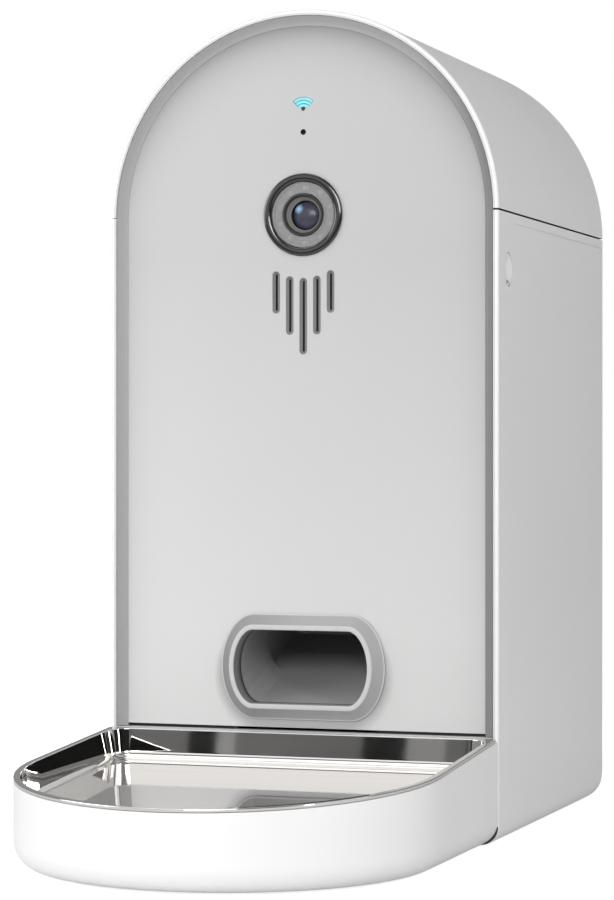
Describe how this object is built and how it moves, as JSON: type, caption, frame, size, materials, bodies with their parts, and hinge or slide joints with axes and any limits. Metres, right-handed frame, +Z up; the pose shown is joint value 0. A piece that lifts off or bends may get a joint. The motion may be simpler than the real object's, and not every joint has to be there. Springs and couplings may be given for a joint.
{
  "type": "camera pet feeder",
  "caption": "Dry-food dispenser with an arched body, hinged lid, hopper, motor-driven rotor, chute, camera and speaker, over a tray with a lift-out steel bowl.",
  "frame": {"origin": "on the floor under the middle of the whole feeder's box", "axes": "+Z up, -Y towards the bowl and the front panel, +X to the right of someone who faces the front"},
  "size_m": [0.175, 0.3682, 0.3549],
  "materials": {
    "white_shell": "smooth satin white",
    "satin_panel": "light grey satin",
    "grey_trim": "mid grey satin",
    "black_gloss": "polished black",
    "dark_plastic": "fine texture",
    "smoked_glass": "polished",
    "lens_glass": "coated",
    "light_guide": "lit cyan",
    "bowl_steel": "mirror polished stainless steel",
    "plain_steel": "drawn",
    "foot_rubber": "matte",
    "seal_rubber": "matte",
    "vane_rubber": "matte",
    "clear_tank": "milky translucent",
    "acetal": "natural",
    "circuit_board": "solder mask",
    "cell_jacket": "plain foil jacket"
  },
  "bodies": {
    "chassis": {"main_housing": "white_shell", "panel_surround": "grey_trim", "front_panel": "satin_panel", "outlet_ring": "grey_trim", "hopper": "clear_tank", "rotor_housing": "white_shell", "gearbox_plate": "dark_plastic", "gear_motor": "plain_steel", "gearbox_cover": "dark_plastic", "chute_duct": "grey_trim", "electronics_cover": "dark_plastic", "main_board": "circuit_board", "camera_ring": "black_gloss", "camera_window": "smoked_glass", "ir_led_board": "seal_rubber", "lens_barrel": "dark_plastic", "lens_glass": "lens_glass", "camera_module": "circuit_board", "speaker_mesh": "dark_plastic", "speaker_driver": "dark_plastic", "microphone_capsule": "plain_steel", "signal_light_guide": "light_guide", "base_plate": "dark_plastic", "battery_box": "dark_plastic", "power_board": "circuit_board", "power_inlet": "dark_plastic", "hinge_pin_left": "plain_steel", "hinge_pin_right": "plain_steel", "latch_spring_left": "plain_steel", "latch_spring_right": "plain_steel", "base_screw_1": "plain_steel", "base_screw_2": "plain_steel", "base_screw_3": "plain_steel", "base_screw_4": "plain_steel", "body_foot_1": "foot_rubber", "body_foot_2": "foot_rubber", "body_foot_3": "foot_rubber", "body_foot_4": "foot_rubber", "battery_cell_1": "cell_jacket", "battery_cell_2": "cell_jacket", "battery_cell_3": "cell_jacket"},
    "lid": {"lid_shell": "white_shell", "lid_liner": "white_shell", "lid_seal": "seal_rubber", "desiccant_box": "clear_tank", "desiccant_cap": "white_shell"},
    "release_left": {"release_button_left": "white_shell", "latch_slider_left": "acetal"},
    "release_right": {"release_button_right": "white_shell", "latch_slider_right": "acetal"},
    "dosing_rotor": {"rotor": "vane_rubber", "rotor_shaft": "plain_steel", "drive_gear": "acetal"},
    "pinion": {"motor_pinion": "acetal"},
    "battery_cover": {"battery_door": "white_shell"},
    "reset": {"reset_button": "grey_trim"},
    "tray": {"tray_shell": "white_shell", "tray_foot_left": "foot_rubber", "tray_foot_right": "foot_rubber"},
    "bowl": {"steel_bowl": "bowl_steel"}
  },
  "joints": [
    {"name": "lid_hinge", "type": "hinge", "parent": "chassis", "child": "lid", "pos_m": [0, 0.1809, 0.2674], "axis": [-1, 0, 0], "range_deg": [0, 95]},
    {"name": "release_press_left", "type": "slide", "parent": "chassis", "child": "release_left", "axis": [1, 0, 0], "range_m": [0, 0.002], "stiffness_N_per_m": 500},
    {"name": "release_press_right", "type": "slide", "parent": "chassis", "child": "release_right", "axis": [-1, 0, 0], "range_m": [0, 0.002], "stiffness_N_per_m": 500},
    {"name": "rotor_spin", "type": "hinge", "parent": "chassis", "child": "dosing_rotor", "pos_m": [0, 0.0494, 0.119], "axis": [1, 0, 0], "continuous": true},
    {"name": "pinion_spin", "type": "hinge", "parent": "chassis", "child": "pinion", "pos_m": [0, 0.0929, 0.119], "axis": [1, 0, 0], "continuous": true},
    {"name": "battery_door_slide", "type": "slide", "parent": "chassis", "child": "battery_cover", "axis": [0, 0, 1], "range_m": [0, 0.012]},
    {"name": "reset_press", "type": "slide", "parent": "chassis", "child": "reset", "axis": [0, -1, 0], "range_m": [0, 0.0012], "stiffness_N_per_m": 300},
    {"name": "tray_slide", "type": "slide", "parent": "chassis", "child": "tray", "axis": [0, -1, 0], "range_m": [0, 0.03]},
    {"name": "bowl_lift", "type": "slide", "parent": "tray", "child": "bowl", "axis": [0, 0, 1], "range_m": [0, 0.06]}
  ],
  "couplings": [
    {"joint": "pinion_spin", "follows": "rotor_spin", "ratio": -3.1429}
  ]
}
